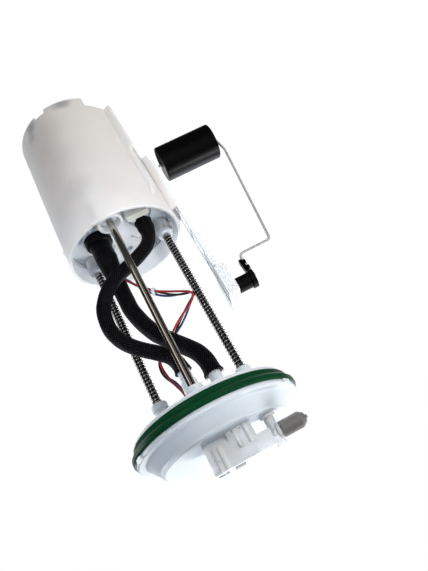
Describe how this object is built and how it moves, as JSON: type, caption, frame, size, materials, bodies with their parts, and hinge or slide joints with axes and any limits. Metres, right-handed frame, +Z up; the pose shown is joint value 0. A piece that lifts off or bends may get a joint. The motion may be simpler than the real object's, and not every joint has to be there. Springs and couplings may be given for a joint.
{
  "type": "fuel pump module",
  "caption": "In-tank fuel pump module: translucent reservoir, sprung guide rods, black braided hoses, green seal, domed flange with plug socket, and a float arm.",
  "frame": {"origin": "middle of the flange's sealing face, on the module's axis", "axes": "+Z up out of the tank along the module's axis, -Y the side with the front guide rod, -X the side with the outlet and the level sender"},
  "size_m": [0.2147, 0.1507, 0.3737],
  "materials": {
    "clear_white_plastic": "satin translucent",
    "seal_rubber": "satin",
    "ground_steel": "polished",
    "spring_steel": "satin",
    "zinc_steel": "satin",
    "black_plastic": "satin",
    "hose_braid": "matte",
    "cream_plastic": "satin",
    "grey_plastic": "matte",
    "float_foam": "satin",
    "lead_red": "gloss",
    "lead_black": "gloss",
    "lead_blue": "gloss",
    "contact_brass": "plain",
    "magnet_ferrite": "matte",
    "rotor_steel": "matte",
    "soft_rubber": "matte",
    "strainer_weave": "woven",
    "ceramic": "matte"
  },
  "bodies": {
    "reservoir": {"brush_pair": "magnet_ferrite", "check_spring": "spring_steel", "check_spring_seat": "contact_brass", "guide_sleeves": "clear_white_plastic", "inlet_strainer": "strainer_weave", "jet_pump": "black_plastic", "pump_bushes": "contact_brass", "pump_cradle": "clear_white_plastic", "pump_end_bell": "black_plastic", "pump_inlet_bell": "black_plastic", "pump_isolator": "soft_rubber", "pump_magnets": "magnet_ferrite", "pump_retainer": "clear_white_plastic", "pump_shell": "zinc_steel", "pump_terminals": "clear_white_plastic", "regulator_body": "zinc_steel", "regulator_clip": "cream_plastic", "regulator_tail": "black_plastic", "reservoir_can": "clear_white_plastic", "resistor_card": "ceramic", "return_hose": "hose_braid", "sender_bracket": "clear_white_plastic", "sender_housing": "clear_white_plastic", "spring_left": "spring_steel", "spring_right": "spring_steel", "supply_coupling": "black_plastic", "supply_hose": "hose_braid", "umbrella_valve": "soft_rubber", "wire_black": "lead_black", "wire_blue": "lead_blue", "wire_red": "lead_red", "wire_tie": "clear_white_plastic"},
    "flange": {"flange_cover": "clear_white_plastic", "seal_ring": "seal_rubber", "rod_sockets": "clear_white_plastic", "guide_rod_front": "ground_steel", "guide_rod_left": "ground_steel", "guide_rod_right": "ground_steel", "rod_clips": "spring_steel", "connector_shroud": "clear_white_plastic", "terminal_pins": "contact_brass", "outlet_elbow": "clear_white_plastic", "lead_grommet": "soft_rubber"},
    "cap": {"outlet_cap": "grey_plastic"},
    "rotor": {"motor_shaft": "ground_steel", "armature": "rotor_steel", "commutator": "contact_brass", "impeller": "black_plastic"},
    "poppet": {"check_poppet": "black_plastic"},
    "float_arm": {"float_wire": "ground_steel", "sender_hub": "black_plastic", "wiper": "contact_brass", "float_clip": "spring_steel"},
    "float": {"float_body": "float_foam"}
  },
  "joints": [
    {"name": "flange_travel", "type": "slide", "parent": "reservoir", "child": "flange", "axis": [0, 0, 1], "range_m": [-0.06, 0], "stiffness_N_per_m": 350, "springref_m": 0.05, "deforming": ["spring_left", "spring_right", "supply_hose", "return_hose", "wire_red", "wire_black", "wire_blue", "wire_tie"]},
    {"name": "outlet_cap_pull", "type": "slide", "parent": "flange", "child": "cap", "axis": [-1, 0, 0], "range_m": [0, 0.045]},
    {"name": "pump_rotor_spin", "type": "hinge", "parent": "reservoir", "child": "rotor", "pos_m": [0.02, -0.008, -0.26], "axis": [0, 0, 1], "continuous": true},
    {"name": "check_valve_lift", "type": "slide", "parent": "reservoir", "child": "poppet", "axis": [0, 0, 1], "range_m": [0, 0.002], "stiffness_N_per_m": 30, "springref_m": -0.001, "deforming": ["check_spring"]},
    {"name": "float_arm_swing", "type": "hinge", "parent": "reservoir", "child": "float_arm", "pos_m": [-0.076, 0.005, -0.1], "axis": [1, 0, 0], "range_deg": [0, 75]},
    {"name": "float_spin", "type": "hinge", "parent": "float_arm", "child": "float", "pos_m": [-0.111, 0.0645, -0.3145], "axis": [1, 0, 0], "continuous": true}
  ]
}
